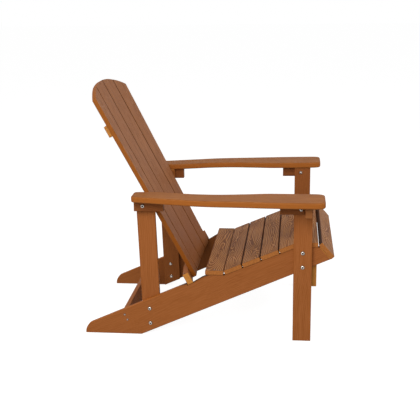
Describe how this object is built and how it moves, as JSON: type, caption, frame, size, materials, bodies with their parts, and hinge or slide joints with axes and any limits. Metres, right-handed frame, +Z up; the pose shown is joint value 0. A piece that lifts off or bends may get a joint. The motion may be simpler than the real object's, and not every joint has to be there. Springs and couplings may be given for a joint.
{
  "type": "adirondack chair",
  "caption": "Outdoor lounge chair with a tall reclined slatted back, sloping slatted seat, wide flat arms and side boards that run back to form the rear feet.",
  "frame": {"origin": "on the floor, midway between the chair's sides and midway between its front and rear extremes", "axes": "+Z up, the sitter faces -Y, +X towards the sitter's left hand"},
  "size_m": [0.7558, 0.8524, 0.8499],
  "materials": {
    "frame_board": "smooth moulded wood-look board, orange-brown, satin",
    "arm_board": "wood-look board with raised grain, brown, satin",
    "seat_slat": "wood-look board with raised grain, greyish brown, satin",
    "back_slat": "wood-look board with raised grain, greyish brown, satin",
    "steel": "plain steel, lightly polished"
  },
  "bodies": {
    "root": {"stringer_left": "frame_board", "front_leg_left": "frame_board", "rear_upright_left": "frame_board", "front_arm_cleat_left": "frame_board", "arm_bracket_left": "frame_board", "rear_arm_cleat_left": "frame_board", "arm_left": "arm_board", "leg_left_1_bolt": "steel", "leg_left_1_nut": "steel", "leg_left_2_bolt": "steel", "leg_left_2_nut": "steel", "upright_left_1_bolt": "steel", "upright_left_1_nut": "steel", "upright_left_2_bolt": "steel", "upright_left_2_nut": "steel", "front_cleat_left_bolt": "steel", "front_cleat_left_nut": "steel", "rear_cleat_left_bolt": "steel", "rear_cleat_left_insert": "steel", "stringer_right": "frame_board", "front_leg_right": "frame_board", "rear_upright_right": "frame_board", "front_arm_cleat_right": "frame_board", "arm_bracket_right": "frame_board", "rear_arm_cleat_right": "frame_board", "arm_right": "arm_board", "leg_right_1_bolt": "steel", "leg_right_1_nut": "steel", "leg_right_2_bolt": "steel", "leg_right_2_nut": "steel", "upright_right_1_bolt": "steel", "upright_right_1_nut": "steel", "upright_right_2_bolt": "steel", "upright_right_2_nut": "steel", "front_cleat_right_bolt": "steel", "front_cleat_right_nut": "steel", "rear_cleat_right_bolt": "steel", "rear_cleat_right_insert": "steel", "seat_slat_1": "seat_slat", "seat_slat_2": "seat_slat", "seat_slat_3": "seat_slat", "seat_slat_4": "seat_slat", "seat_slat_5": "seat_slat", "seat_slat_6": "seat_slat", "seat_slat_7": "seat_slat", "back_slat_left_inner": "back_slat", "back_slat_left_outer": "back_slat", "back_slat_right_inner": "back_slat", "back_slat_right_outer": "back_slat", "upper_back_brace": "frame_board", "middle_back_rail": "frame_board", "lower_back_rail": "frame_board", "front_apron": "frame_board", "rear_stretcher": "frame_board"}
  },
  "joints": []
}
